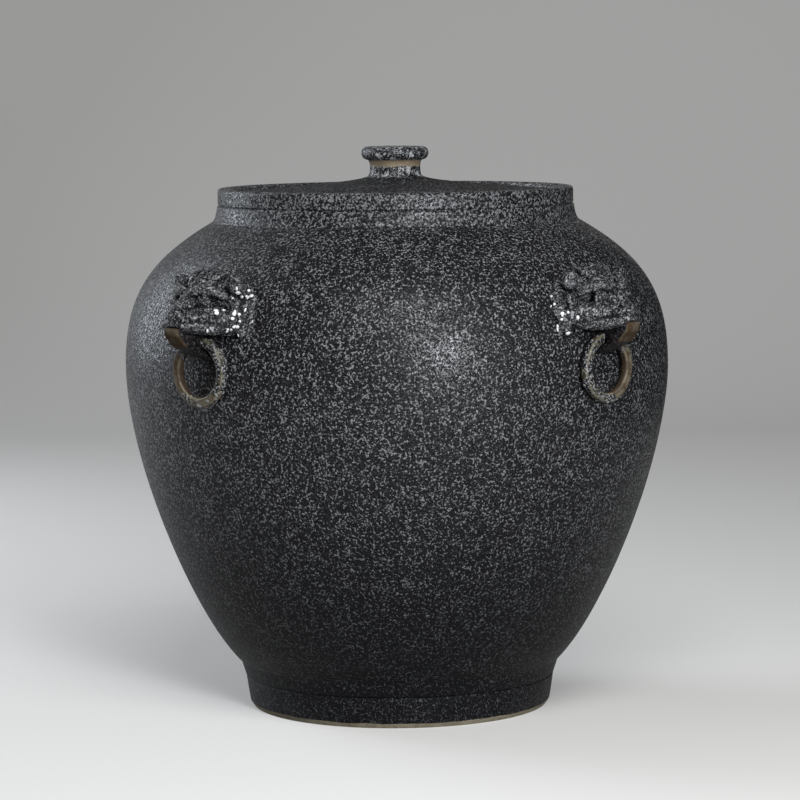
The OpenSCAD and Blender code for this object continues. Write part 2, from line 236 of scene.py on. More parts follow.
def softened(points, corners, steps=5):
    """The outline with the corners at these indices rounded; corners maps an index to a radius."""
    out = []
    last = len(points) - 1
    for i, p in enumerate(points):
        r = corners.get(i)
        if r is None or i in (0, last):
            out.append(p)
            continue
        before, after = points[i - 1], points[i + 1]
        a = Vector(p) + (Vector(before) - Vector(p)).normalized() * r
        b = Vector(p) + (Vector(after) - Vector(p)).normalized() * r
        for k in range(steps + 1):
            t = k / steps
            out.append(tuple((1 - t) ** 2 * a + 2 * t * (1 - t) * Vector(p) + t * t * b))
    return out


def wall_curve(s):
    """Outside of the wall, from the foot to the foot of the neck."""
    shoulder = (s.rim_r + s.neck_flare, s.rim_z - s.neck_h)
    start = (s.foot_r - 0.0055, s.foot_h + 0.0037)
    low = curve(start, (start[0] + 0.026, start[1] + 0.0085), (s.belly_r, s.belly_z - 0.071),
                (s.belly_r, s.belly_z), 70)
    high = curve((s.belly_r, s.belly_z), (s.belly_r, s.belly_z + 0.048),
                 (shoulder[0] + 0.038, shoulder[1] - 0.022), shoulder, 50)
    return low + high[1:]


def moved_in(points, t):
    """The curve moved towards the axis by t, square to itself."""
    p = np.array(points)
    d = np.gradient(p, axis=0)
    d /= np.linalg.norm(d, axis=1)[:, None]
    return [tuple(q) for q in p + t * np.stack([-d[:, 1], d[:, 0]], axis=1)]


def wall_radius():
    """Gives a function of height for the radius of the wall's outside."""
    points = np.array(wall_curve(bpy.context.scene.jar_sizes))
    return lambda z: np.interp(z, points[:, 1], points[:, 0])


# Meshes

def new_object(name, mesh):
    obj = bpy.data.objects.new(name, mesh)
    bpy.context.scene.collection.objects.link(obj)
    return obj


def as_plain_mesh(obj, name):
    """The evaluated object as a plain mesh of its own; the object with its modifiers is removed."""
    graph = bpy.context.evaluated_depsgraph_get()
    mesh = bpy.data.meshes.new_from_object(obj.evaluated_get(graph))
    mesh.name = name
    bpy.data.objects.remove(obj)
    return mesh


def outwards(mesh):
    """Merges doubles and points all faces outwards."""
    bm = bmesh.new()
    bm.from_mesh(mesh)
    bmesh.ops.remove_doubles(bm, verts=bm.verts, dist=1e-6)
    bmesh.ops.recalc_face_normals(bm, faces=bm.faces)
    bm.to_mesh(mesh)
    bm.free()
    mesh.shade_smooth()
    return mesh


def finish_piece(obj, body, nodes):
    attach(obj, body)
    if nodes:
        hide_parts(*nodes)
    return obj


class Tree:
    """A Geometry Nodes group that is written line by line."""

    def __init__(self, name):
        self.group = bpy.data.node_groups.new(name, "GeometryNodeTree")
        self.group.interface.new_socket("Geometry", in_out="INPUT", socket_type="NodeSocketGeometry")
        self.group.interface.new_socket("Geometry", in_out="OUTPUT", socket_type="NodeSocketGeometry")
        self.entry = self.group.nodes.new("NodeGroupInput")
        self.exit = self.group.nodes.new("NodeGroupOutput")

    def named(self, name, kind):
        """A new named input of the group."""
        self.group.interface.new_socket(name, in_out="INPUT", socket_type=kind)
        return self.entry.outputs[name]

    def node(self, kind, settings=None, inputs=None, output=0):
        node = self.group.nodes.new(kind)
        for key, value in (settings or {}).items():
            setattr(node, key, value)
        for key, value in (inputs or {}).items():
            if isinstance(value, bpy.types.NodeSocket):
                self.group.links.new(value, node.inputs[key])
            else:
                node.inputs[key].default_value = value
        return node.outputs[output]

    def maths(self, operation, *values):
        return self.node("ShaderNodeMath", {"operation": operation}, dict(enumerate(values)))

    def vector(self, operation, *values, output=0):
        return self.node("ShaderNodeVectorMath", {"operation": operation}, dict(enumerate(values)), output)

    def end(self, geometry, material):
        """Realize Instances and Set Material, which the tree ends in."""
        real = self.node("GeometryNodeRealizeInstances", inputs={0: geometry})
        done = self.node("GeometryNodeSetMaterial", inputs={"Geometry": real, "Material": material})
        self.group.links.new(done, self.exit.inputs[0])
        return self.group


def run_tree(name, mesh, group, values):
    """The mesh after the group, as a plain mesh. Inputs are set by identifier before evaluation."""
    obj = new_object(name, mesh)
    modifier = obj.modifiers.new("Form", "NODES")
    modifier.node_group = group
    for item in group.interface.items_tree:
        if item.item_type == "SOCKET" and item.in_out == "INPUT" and item.name in values:
            modifier[item.identifier] = values[item.name]
    return as_plain_mesh(obj, name)


def wheel_tree():
    """Turns an outline, given as a row of points, round the Z axis, with a thrown surface's unevenness."""
    if "Wheel" in bpy.data.node_groups:
        return bpy.data.node_groups["Wheel"]
    tree = Tree("Wheel")
    segments = tree.named("Segments", "NodeSocketInt")
    uneven = tree.named("Unevenness", "NodeSocketFloat")
    material = tree.named("Material", "NodeSocketMaterial")
    outline = tree.entry.outputs[0]
    rows = tree.node("GeometryNodeAttributeDomainSize", {"component": "MESH"}, {0: outline})
    columns = tree.maths("ADD", segments, 1)
    grid = tree.node("GeometryNodeMeshGrid", inputs={"Vertices X": columns, "Vertices Y": rows})
    index = tree.node("GeometryNodeInputIndex")
    row = tree.maths("MODULO", index, rows)
    column = tree.maths("FLOOR", tree.maths("DIVIDE", index, rows))
    angle = tree.maths("MULTIPLY", tree.maths("DIVIDE", column, segments), math.tau)
    point = tree.node("GeometryNodeSampleIndex", {"data_type": "FLOAT_VECTOR", "domain": "POINT"},
                      {"Geometry": outline, "Value": tree.node("GeometryNodeInputPosition"), "Index": row})
    turned = tree.node("ShaderNodeVectorRotate", {"rotation_type": "Z_AXIS"},
                       {"Vector": point, "Angle": angle})
    placed = tree.node("GeometryNodeSetPosition", inputs={"Geometry": grid, "Position": turned})
    merged = tree.node("GeometryNodeMergeByDistance", inputs={"Geometry": placed, "Distance": 2e-6})
    here = tree.node("GeometryNodeInputPosition")
    wave = tree.node("ShaderNodeTexNoise", {"noise_dimensions": "3D"},
                     {"Vector": here, "Scale": 38.0, "Detail": 1.0})
    level = tree.vector("MULTIPLY", here, (1.0, 1.0, 0.0))
    outward = tree.vector("NORMALIZE", level)
    amount = tree.maths("MULTIPLY", tree.maths("SUBTRACT", wave, 0.72), uneven)
    shift = tree.node("ShaderNodeVectorMath", {"operation": "SCALE"}, {0: outward, "Scale": amount})
    shaped = tree.node("GeometryNodeSetPosition", inputs={"Geometry": merged, "Offset": shift})
    return tree.end(shaped, material)


def thrown(name, outline, material, body, nodes, segments=0, uneven=None):
    """A closed piece turned from an outline."""
    s = bpy.context.scene.jar_sizes
    row = bpy.data.meshes.new(name + "_outline")
    row.from_pydata([(r, 0.0, z) for r, z in outline], [], [])
    mesh = run_tree(name, row, wheel_tree(), {
        "Segments": segments or s.segments,
        "Unevenness": s.unevenness if uneven is None else uneven,
        "Material": material})
    obj = new_object(name, outwards(mesh))
    return finish_piece(obj, body, nodes)


# Finishes

class Value:
    """A socket of a finish's node tree, for sums and products of plain numbers over the surface."""

    def __init__(self, finish, socket):
        self.finish = finish
        self.socket = socket

    def maths(self, operation, *values):
        return self.finish.node("ShaderNodeMath", {"operation": operation}, dict(enumerate(values)))

    def __add__(self, other):
        return self.maths("ADD", self, other)

    __radd__ = __add__

    def __sub__(self, other):
        return self.maths("SUBTRACT", self, other)

    def __rsub__(self, other):
        return self.maths("SUBTRACT", other, self)

    def __mul__(self, other):
        return self.maths("MULTIPLY", self, other)

    __rmul__ = __mul__

    def highest(self, other):
        return self.maths("MAXIMUM", self, other)

    def lowest(self, other):
        return self.maths("MINIMUM", self, other)

    def rise(self, low, high):
        """0 below low, 1 above high, and a smooth step between."""
        return self.finish.node("ShaderNodeMapRange", {"interpolation_type": "SMOOTHSTEP"},
                                {"Value": self, "From Min": low, "From Max": high})


class Finish:
    """A material that is written line by line."""

    def __init__(self, name):
        self.material = bpy.data.materials.new(name)
        self.material.use_nodes = True
        self.tree = self.material.node_tree
        self.tree.nodes.clear()
        self.place = self.node("ShaderNodeTexCoord", output="Object")

    def node(self, kind, settings=None, inputs=None, output=0):
        node = self.tree.nodes.new(kind)
        for key, value in (settings or {}).items():
            setattr(node, key, value)
        for key, value in (inputs or {}).items():
            if isinstance(value, Value):
                self.tree.links.new(value.socket, node.inputs[key])
            else:
                node.inputs[key].default_value = value
        return Value(self, node.outputs[output]) if len(node.outputs) else None

    def axes(self):
        split = self.node("ShaderNodeSeparateXYZ", inputs={0: self.place})
        return [Value(self, split.socket.node.outputs[i]) for i in range(3)]

    def attribute(self, name):
        return self.node("ShaderNodeAttribute", {"attribute_name": name}, output="Fac")

    def noise(self, scale, detail=0.0, output="Fac"):
        return self.node("ShaderNodeTexNoise", {"noise_dimensions": "3D"},
                         {"Vector": self.place, "Scale": scale, "Detail": detail, "Roughness": 0.5}, output)

    def vector(self, operation, *values):
        return self.node("ShaderNodeVectorMath", {"operation": operation}, dict(enumerate(values)))

    def warped(self, scale, reach):
        """The place on the surface, pushed about by a noise."""
        push = self.vector("SUBTRACT", self.noise(scale, output="Color"), (0.5, 0.5, 0.5))
        scaled = self.node("ShaderNodeVectorMath", {"operation": "SCALE"}, {0: push, "Scale": reach})
        return self.vector("ADD", self.place, scaled)

    def mix(self, factor, a, b):
        a, b = (c if isinstance(c, Value) else (*c, 1.0) for c in (a, b))
        return self.node("ShaderNodeMix", {"data_type": "RGBA"}, {0: factor, 6: a, 7: b}, 2)

    def close(self, base, roughness, height=None, depth=0.0, **plain):
        """The shader and the output. Plain values are set on the shader's own sockets."""
        inputs = {"Base Color": base, "Roughness": roughness}
        if height is not None:
            inputs["Normal"] = self.node("ShaderNodeBump", {}, {
                "Strength": 1.0, "Distance": depth, "Height": height})
        inputs.update({key.replace("_", " "): value for key, value in plain.items()})
        shader = self.node("ShaderNodeBsdfPrincipled", {}, inputs)
        self.node("ShaderNodeOutputMaterial", {}, {"Surface": shader})
        return self.material


def speckle(f, spacing, loose=0.5):
    """Pale grains that gather in broken chains round dark cells: 1 on a grain and 0 on the ground.
    The higher loose is, the more grains there are."""
    grain = spacing * 0.36
    low = 1 - f.axes()[2].rise(0.12, 0.30)
    where = f.warped(0.9 / spacing, 0.6 * spacing)
    edge = f.node("ShaderNodeTexVoronoi", {"feature": "DISTANCE_TO_EDGE"},
                  {"Vector": where, "Scale": 1 / spacing})
    chain = 1 - edge.rise(0.02, 0.30)
    grains = f.noise(1 / grain, 1.0)
    gaps = f.noise(0.35 / spacing, 1.0)
    level = grains + chain * (0.13 + 0.05 * low) + 0.14 * gaps - 0.03 * low
    start = 0.77 - 0.2 * loose
    return level.rise(start, start + 0.17)


def glazed(name, spacing=None, loose=0.5, frost=0.0, depth=0.0003, gloss=1.0, shaped=None):
    """The dark speckled glaze. shaped(f, colour, height, roughness) may lay other finishes over it."""
    c = bpy.context.scene.glaze_colours
    f = Finish(name)
    spacing = spacing or c.speck_size
    specks = speckle(f, spacing, loose)
    fine = f.noise(1050.0, 1.0)
    cloud = f.noise(22.0, 2.0)
    # Painted shade: thick darkens the pale specks low on the jar, and shine makes the glaze duller there
    thick, shine = f.axes()[2].rise(0.04, 0.21), f.axes()[2].rise(0.06, 0.25)
    spark = fine.rise(0.34, 0.72)
    pale = (specks * (0.12 + 1.7 * spark) + 0.3 * (fine - 0.42)) * (0.8 + 0.4 * cloud)
    # Painted shade: the specks get darker towards the bottom
    pale = pale * (0.25 + 0.75 * thick)
    colour = f.mix(pale.highest(0.0).lowest(1.0), tuple(c.ground), tuple(c.speck))
    height = specks * 0.8 + fine
    if frost:
        lumps = f.noise(0.85 / spacing, 1.0).rise(0.66 - 0.2 * frost, 0.74 - 0.2 * frost)
        colour = f.mix(lumps * (0.35 + 0.75 * fine), colour, tuple(c.frost))
        height = height + lumps * 0.9
    roughness = 0.54 - 0.1 * specks + 0.2 * (fine - 0.5)
    glints = f.noise(820.0, 1.0).rise(0.48, 0.60)
    if shaped:
        colour, height, roughness = shaped(f, colour, height, roughness)
    return f.close(colour, roughness, height, depth, Specular_IOR_Level=0.08,
                   Coat_Weight=(0.02 + glints * (0.5 + 0.44 * specks)) * (0.03 + 0.97 * shine) * gloss,
                   Coat_Roughness=0.34)


def bare_clay_colour(f):
    c = bpy.context.scene.glaze_colours
    mottled = f.noise(260.0, 3.0)
    return f.mix(mottled.rise(0.35, 0.7), tuple(c.clay), tuple(v * 0.72 for v in c.clay))


# The pieces of the jar

class PICKLEJAR_OT_throw_wall(bpy.types.Operator):
    """Throw the wall: belly, shoulder, neck, rim and gutter as one closed piece"""
    bl_idname = "picklejar.throw_wall"
    bl_label = "Throw the wall"

    def execute(self, context):
        s = context.scene.jar_sizes
        wall = wall_curve(s)
        shoulder_z = s.rim_z - s.neck_h
        band_z = s.rim_z - s.rim_band
        gutter_r = s.rim_r - s.rim_t
        mouth_r = s.collar_r - s.collar_t
        outside = [(s.foot_r - 0.0004, s.foot_h), (s.foot_r + 0.0004, s.foot_h + 0.0009)]
        outside += [p for p in wall if p[0] > s.foot_r + 0.0022]
        neck = curve((s.rim_r + s.neck_flare, shoulder_z), (s.rim_r + 0.0014, shoulder_z + 0.002),
                     (s.rim_r + 0.0008, band_z - 0.004), (s.rim_r + 0.0004, band_z - s.groove), 16)
        band = softened([neck[-1], (s.rim_r - s.groove, band_z - s.groove / 2),
                         (s.rim_r, band_z + s.groove / 2), (s.rim_r, band_z + 0.003)],
                        {1: 0.0004, 2: 0.0005}, 4)
        rim = arc((s.rim_r - 0.0022, s.rim_z - 0.0022), 0.0022, 0, 90)
        rim += arc((gutter_r + 0.003, s.rim_z - 0.003), 0.003, 90, 180)
        inside = softened([rim[-1], (gutter_r, s.seat_z), (mouth_r, s.seat_z),
                           (mouth_r, s.seat_z - s.wall_t), (mouth_r + 0.01, s.seat_z - s.wall_t)],
                          {1: 0.004, 3: 0.003}, 6)
        inner = [p for p in moved_in(wall, s.wall_t)
                 if s.foot_h + s.wall_t < p[1] < s.seat_z - s.wall_t - 0.001][::-1]
        ends = softened([inner[-1], (s.floor_r, s.foot_h), (s.floor_r + 0.004, s.foot_h)], {1: 0.0015}, 4)
        loop = outside + neck[1:] + band[1:] + rim + inside[1:] + inner + ends[1:]
        loop = stepped(loop + [loop[0]], 0.0032)
        thrown("pot_wall", loop, glazed("speckled_glaze", shaped=self.thicker_at_rim), "jar",
               ("lower_wall", "upper_wall", "gutter_wall"))
        return {"FINISHED"}

    @staticmethod
    def thicker_at_rim(f, colour, height, roughness):
        """Whiter, coarser granules on the neck and rim, and painted shade that darkens the glaze below
        about 30 mm, on the floor inside the jar and just above the foot.
        """
        c = bpy.context.scene.glaze_colours
        z = f.axes()[2]
        rim = z.rise(0.309, 0.322)
        lumps = f.noise(560.0, 1.0).rise(0.52, 0.64)
        colour = f.mix(rim * lumps * 0.3, colour, tuple(c.frost))
        height = height + rim * lumps * 0.6
        # Painted shade: darker below about 30 mm, on the floor inside and just above the foot
        low = 1 - z.rise(0.020, 0.030)
        colour = f.mix(low * 0.55, colour, tuple(c.ground))
        return colour, height, roughness


class PICKLEJAR_OT_trim_foot(bpy.types.Operator):
    """Trim the foot ring with its bare bevel, and the floor that it carries"""
    bl_idname = "picklejar.trim_foot"
    bl_label = "Trim the foot"

    def execute(self, context):
        s = context.scene.jar_sizes
        bottom_r = s.foot_r - s.foot_taper
        ring = softened([(s.recess_r + 0.002, s.foot_h), (s.recess_r, s.foot_h - 0.001), (s.recess_r, 0.0),
                         (bottom_r - s.foot_bevel * 0.7, 0.0), (bottom_r, s.foot_bevel),
                         (s.foot_r, s.foot_h), (s.recess_r + 0.002, s.foot_h)],
                        {1: 0.0004, 2: 0.0012, 3: 0.0004, 4: 0.0005, 5: 0.0012}, 4)
        thrown("foot_band", stepped(ring, 0.003), self.foot_glaze(), "jar", ("foot_ring",))
        slab = softened([(0.0, s.foot_h), (s.recess_r, s.foot_h), (s.recess_r, s.recess_d),
                         (0.0, s.recess_d)], {1: 0.0006, 2: 0.0006})
        thrown("floor_disc", stepped(slab, 0.006), self.floor_clay(), "jar", ("floor_slab",),
               segments=120, uneven=0.0)
        return {"FINISHED"}

    @staticmethod
    def foot_glaze():
        s = bpy.context.scene.jar_sizes
        bevel = s.foot_bevel

        def bare_bevel(f, colour, height, roughness):
            x, y, z = f.axes()
            wander = f.noise(90.0, 2.0) - 0.5
            bare = 1 - (z + wander * 0.0012).rise(bevel - 0.0002, bevel + 0.0004)
            inside = 1 - (x * x + y * y).rise((s.recess_r + 0.001) ** 2, (s.recess_r + 0.003) ** 2)
            bare = bare.highest(inside)
            colour = f.mix(bare, colour, bare_clay_colour(f))
            return colour, height * (1 - 0.7 * bare), roughness + 0.25 * bare

        return glazed("foot_glaze", spacing=0.0030, loose=0.5, gloss=0.6, shaped=bare_bevel)

    @staticmethod
    def floor_clay():
        f = Finish("bare_floor")
        rings = f.node("ShaderNodeTexWave", {"wave_type": "RINGS", "rings_direction": "Z"},
                       {"Vector": f.place, "Scale": 90.0, "Distortion": 0.6, "Detail": 1.0})
        grit = f.noise(900.0, 2.0)
        return f.close(bare_clay_colour(f), 0.72 + 0.1 * grit, rings * 0.5 + grit, 0.0002)


class PICKLEJAR_OT_throw_collar(bpy.types.Operator):
    """Throw the collar that keeps the sealing water out of the mouth"""
    bl_idname = "picklejar.throw_collar"
    bl_label = "Throw the mouth collar"

    def execute(self, context):
        s = context.scene.jar_sizes
        lip = s.collar_t / 2
        inner_r = s.collar_r - s.collar_t
        foot_z = s.seat_z + 0.00005
        loop = [(inner_r, foot_z), (s.collar_r, foot_z)]
        loop += arc((inner_r + lip, s.collar_top - lip), lip, 0, 180, 14)
        loop = stepped(loop + [loop[0]], 0.0025)
        thrown("mouth_ring", loop, glazed("collar_glaze"), "jar", ("mouth_collar",))
        return {"FINISHED"}


# Clay that is modelled by hand: lumps and ropes, joined and smoothed

class Clay:
    """Lumps of clay in millimetres, facing +X, that are pressed into one skin."""

    def __init__(self):
        self.bm = bmesh.new()

    def lump(self, centre, radii):
        if isinstance(radii, (int, float)):
            radii = (radii, radii, radii)
        matrix = Matrix.Translation(centre) @ Matrix.Diagonal((*radii, 1.0))
        bmesh.ops.create_icosphere(self.bm, subdivisions=3, radius=1.0, matrix=matrix)

    def rope(self, points, radii, mirrored=False):
        """A tapered rope through the points, laid as close lumps."""
        points = [Vector(p) for p in points]
        if isinstance(radii, (int, float)):
            radii = [radii] * len(points)
        spans = [0.0]
        for a, b in zip(points, points[1:]):
            spans.append(spans[-1] + (b - a).length)
        count = max(3, math.ceil(spans[-1] / (0.42 * min(radii))))
        where = np.linspace(0, spans[-1], count)
        laid = [np.interp(where, spans, [p[k] for p in points]) for k in range(3)]
        for x, y, z, r in zip(*laid, np.interp(where, spans, radii)):
            for side in (1, -1) if mirrored else (1,):
                bmesh.ops.create_icosphere(self.bm, subdivisions=1, radius=r * 1.06,
                                           matrix=Matrix.Translation((x, side * y, z)))

    def skin(self, name, grain, rounds=4):
        """One closed skin round all the lumps, in metres."""
        mesh = bpy.data.meshes.new(name)
        self.bm.to_mesh(mesh)
        self.bm.free()
        obj = new_object(name, mesh)
        remesh = obj.modifiers.new("Skin", "REMESH")
        remesh.mode = "VOXEL"
        remesh.voxel_size = grain / MM
        smooth = obj.modifiers.new("Rubbed", "SMOOTH")
        smooth.factor = 0.5
        smooth.iterations = rounds
        mesh = as_plain_mesh(obj, name)
        mesh.transform(Matrix.Scale(MM, 4))
        return mesh


def coordinates(mesh):
    co = np.empty(len(mesh.vertices) * 3)
    mesh.vertices.foreach_get("co", co)
    return co.reshape(-1, 3)


def set_coordinates(mesh, co):
    mesh.vertices.foreach_set("co", co.ravel())
    mesh.update()


def store(mesh, name, values):
    attribute = mesh.attributes.new(name, "FLOAT", "POINT")
    attribute.data.foreach_set("value", np.ascontiguousarray(values, dtype=np.float32))


def neighbour_mean(mesh, values, rounds):
    """The values averaged over each vertex's neighbours, several times."""
    edges = np.empty(len(mesh.edges) * 2, dtype=np.int64)
    mesh.edges.foreach_get("vertices", edges)
    a, b = edges.reshape(-1, 2).T
    count = np.bincount(a, minlength=len(values)) + np.bincount(b, minlength=len(values)) + 1.0
    out = np.array(values, float)
    for _ in range(rounds):
        total = out.copy()
        np.add.at(total, a, out[b])
        np.add.at(total, b, out[a])
        out = total / (count[:, None] if out.ndim == 2 else count)
    return out


def hollows(mesh, rounds=14):
    """How far each vertex lies below (positive) or above the smoothed surface, in metres."""
    co = coordinates(mesh)
    normals = np.empty(len(mesh.vertices) * 3)
    mesh.vertices.foreach_get("normal", normals)
    return ((neighbour_mean(mesh, co, rounds) - co) * normals.reshape(-1, 3)).sum(axis=1)


def ripple(points, scale):
    """Smooth noise at each point, about -1 to 1."""
    return np.array([noise.noise(Vector(p) * scale) for p in points])


def loop_faces(rows, columns):
    """Faces of a grid of points that closes on itself both ways."""
    faces = []
    for i in range(rows):
        for k in range(columns):
            here, above, beyond = i * columns, ((i + 1) % rows) * columns, (k + 1) % columns
            faces.append((here + k, here + beyond, above + beyond, above + k))
    return faces


def pressed(mesh, reach):
    """A copy that stands out from the wall by this share, since each head is pressed on by hand."""
    copy = mesh.copy()
    co = coordinates(copy)
    rho = np.hypot(co[:, 0], co[:, 1])
    out = np.maximum(rho - wall_radius()(co[:, 2]), 0.0)
    scale = (rho - out * (1 - reach)) / rho
    co[:, 0] *= scale
    co[:, 1] *= scale
    set_coordinates(copy, co)
    return copy


def turned_copy(mesh, name, angle):
    copy = mesh.copy()
    copy.name = name
    copy.transform(Matrix.Rotation(angle, 4, "Z"))
    return copy


class PICKLEJAR_OT_model_masks(bpy.types.Operator):
    """Model the lion's head and press it on at its four places on the shoulder"""
    bl_idname = "picklejar.model_masks"
    bl_label = "Model the lion masks"

    def execute(self, context):
        head = self.head(context.scene.mask_sizes)
        material = self.mask_glaze()
        head.materials.clear()
        head.materials.append(material)
        for place in PLACES:
            mesh = pressed(head, REACH[place])
            obj = new_object(place + "_lion", turned_copy(mesh, place + "_lion", turn_of(place)))
            finish_piece(obj, "jar", (place + "_mask",))
        return {"FINISHED"}

    @staticmethod
    def head(m):
        wall_r = wall_radius()
        half_w, half_h, mid = m.half_w / MM, m.half_h / MM, m.middle_z / MM
        clay = Clay()

        def on_wall(u, z, out):
            r = float(wall_r(z * MM)) / MM
            return Vector(((r + out) * math.cos(u / r), (r + out) * math.sin(u / r), z))

        # The pad that the head is modelled on, thin at its edge
        for ring, height, r in ((0.0, 1.0, 7.0), (0.3, 0.5, 6.5), (0.58, -0.5, 6.0), (0.82, -0.8, 5.0)):
            n = max(1, round(ring * 46))
            for i in range(n):
                a = math.tau * i / n
                u, z = ring * (half_w - 3) * math.cos(a), mid + ring * (half_h - 3) * math.sin(a)
                clay.lump(on_wall(u, z, height), r)
        # Skull, forehead and muzzle
        clay.lump((164, 0, 272), (17, 21, 14))
        clay.lump((167, 0, 281), (12, 15, 7.5))
        clay.lump((184, 0, 262.5), (20, 11.5, 8))
        clay.lump((186, 0, 269), (11, 8, 7))
        # Bridge and tip of the nose, nostril wings
        clay.rope([(202, 0, 264), (195, 0, 270.5), (187, 0, 277), (178, 0, 283)], [5.2, 4.2, 4.0, 4.6])
        clay.lump((200.5, 0, 262.5), (6.2, 6.8, 5.0))
        clay.rope([(200.5, 5.4, 261), (197.5, 7.2, 262.5)], [3.5, 3.0], mirrored=True)
        # Upper lip: two cushions that meet under the nose and run back along the cheek
        clay.rope([(203, 1.8, 256.8), (201, 7.5, 255.6), (194, 12.5, 255.2), (186, 17.5, 255.4),
                   (178, 22, 256.5)], [3.6, 4.2, 4.2, 3.8, 3.2], mirrored=True)
        clay.lump((199, 5, 258), (5, 5, 3.6))
        clay.lump((199, -5, 258), (5, 5, 3.6))
        # Brows, eyes and lids
        clay.rope([(190.5, 4.2, 277.6), (188.5, 9.5, 279.4), (184, 15, 278.6), (178.5, 20, 275.0)],
                  [3.2, 3.7, 3.4, 2.8], mirrored=True)
        for side in (1, -1):
            clay.lump((187.4, side * 10.8, 271.2), 4.9)
            rim = [(187.6 + 0.9 * math.cos(a) ** 2, side * (10.8 + 5.4 * math.cos(a)),
                    271.2 + 4.2 * math.sin(a)) for a in np.linspace(0, math.tau, 22)]
            clay.rope(rim, 1.25)
        # Cheeks, and a fold from the nose round the cheek
        clay.rope([(187, 12, 263.5), (181, 19, 262), (175, 24, 259.5)], [6.2, 6.6, 5.0], mirrored=True)
        clay.rope([(194, 7.5, 266.2), (190, 12.5, 266.6), (184, 18.5, 267.0)], [2.2, 2.3, 1.8],
                  mirrored=True)
        clay.rope([(195, 6.0, 262.0), (189, 11.0, 262.0)], [4.2, 4.6], mirrored=True)
        # Ears, as small folded cups
        for side in (1, -1):
            clay.lump((172, side * 23, 281.5), (5.2, 5.6, 5.4))
            clay.rope([(175.5, side * 20, 283.5), (175.5, side * 23, 286.5), (173.5, side * 26.6, 284.5),
                       (173.0, side * 27.6, 280.5)], 1.8)
        # Mane: an outer and an inner row of curls, each a rope wound into a snail
        rows = ((m.curls, 0.80, half_w - 6.2, half_h - 6.0, 4.6, 3.6, 1.0),
                (m.curls - 3, 0.72, half_w - 14.0, half_h - 11.5, 4.0, 8.6, -1.0))
        for count, span, a_u, a_z, r, out, hand in rows:
            for i in range(count):
                a = math.radians(90 + 360 * span * (i / (count - 1) - 0.5))
                u, z = a_u * math.cos(a), mid + a_z * math.sin(a)
                if abs(u) < 9 and z > mid and out > 5:
                    continue
                clay.lump(on_wall(u, z, out - 2.2), (4.2, r * 0.95, r * 0.95))
                way = hand if u > 0 else -hand
                snail = []
                for k in range(17):
                    t = k / 16
                    turn = a + way * (0.4 + 1.45 * t) * math.tau
                    reach = r * (1 - 0.86 * t)
                    snail.append(on_wall(u + reach * math.cos(turn), z + reach * math.sin(turn),
                                         out + 1.6 * t))
                clay.rope(snail, [1.9] * 9 + [1.6] * 8)
        # Locks that hang beside the mouth and rise over the brow
        clay.rope([(172, 26, 262), (168.5, 29.5, 256), (166.5, 31, 250.5)], [3.4, 3.1, 2.3], mirrored=True)
        clay.rope([(170, 21.5, 256.5), (172, 26.5, 252.5)], [3.0, 2.2], mirrored=True)
        for u in (-9, -3, 3, 9):
            clay.rope([(180, u * 0.8, 281), (174, u * 1.1, 286.5), (165.5, u * 1.35, 289.8)],
                      [2.3, 2.6, 1.9])
        mesh = clay.skin("lion_head", m.grain)

        co = coordinates(mesh) / MM
        rho = np.hypot(co[:, 0], co[:, 1])
        wall = np.interp(co[:, 2] * MM, *np.array(sorted((z, r) for r, z in wall_curve(
            bpy.context.scene.jar_sizes) if z > 0.2)).T) / MM
        # Pupils and nostrils are pressed in with a round tool
        pits = np.zeros(len(co))
        for centre, r, depth in (((191.6, 12.0, 270.6), 2.3, 0.9), ((204.6, 4.0, 261.4), 1.5, 2.0)):
            for side in (1, -1):
                d = np.linalg.norm(co - np.array((centre[0], side * centre[1], centre[2])), axis=1)
                pits = np.maximum(pits, np.exp(-(d / r) ** 4))
                co[:, 0] -= depth * np.exp(-(d / r) ** 2)
        # The pits are kept, for the painted shade in them
        store(mesh, "pit", pits)
        # Nothing lies in the way of the ring, or comes through the wall
        u = co[:, 1]
        low = (np.abs(u) < 23.9) & (co[:, 2] < 251.3)
        co[low, 2] = 251.3
        sunk = rho < wall - 3.0
        scale = ((wall - 3.0) / np.maximum(rho, 1.0))[sunk]
        co[sunk, 0] *= scale
        co[sunk, 1] *= scale
        # The lip rises toward the front, and the locks beside it hang lower
        out = np.clip((rho - wall - 14) / 18, 0, 1)
        co[:, 2] += 3.2 * out * np.clip((266 - co[:, 2]) / 12, 0, 1)
        co[:, 2] -= 4.5 * np.clip((np.abs(u) - 25.5) / 5, 0, 1) * np.clip((262 - co[:, 2]) / 10, 0, 1)
        # Thick glaze and finger marks
        marks = ripple(co, 0.22) * 0.35 + ripple(co, 0.6) * 0.22
        co[:, 0] += marks
        co[:, 2] += 0.4 * marks * (co[:, 2] > 252)
        set_coordinates(mesh, co * MM)
        outwards(mesh)
        # How deep each point lies in a hollow, kept for the painted shade in the hollows and the white on
        # the crests
        deep = hollows(mesh)
        co = coordinates(mesh) / MM
        store(mesh, "hollow", np.clip(deep / (0.5 * MM), -1.5, 1.5))
        edge = np.clip((np.abs(co[:, 1]) - 14) / 16, 0, 1)
        store(mesh, "edge", edge)
        mesh.shade_smooth()
        return mesh

    @staticmethod
    def mask_glaze():
        c = bpy.context.scene.glaze_colours

        def pooled(f, colour, height, roughness):
            hollow = f.attribute("hollow")
            edge = f.attribute("edge")
            # Painted shade in the hollows, pupils and nostrils
            dark = hollow.rise(0.15, 1.0).highest(f.attribute("pit"))
            colour = f.mix(dark * 0.75, colour, tuple(0.6 * v for v in c.ground))
            # White granules on the crests, partly a painted highlight
            crest = (0 - hollow).rise(0.2, 1.1)
            crumbs = f.noise(860.0, 1.0).rise(0.48, 0.60)
            colour = f.mix(crest * crumbs * 0.3 + edge * crumbs * 0.06, colour, tuple(c.frost))
            return colour, height + crumbs * 0.7, roughness - 0.08

        return glazed("mask_glaze", spacing=0.0030, loose=0.6, frost=0.08, depth=0.00035, shaped=pooled)


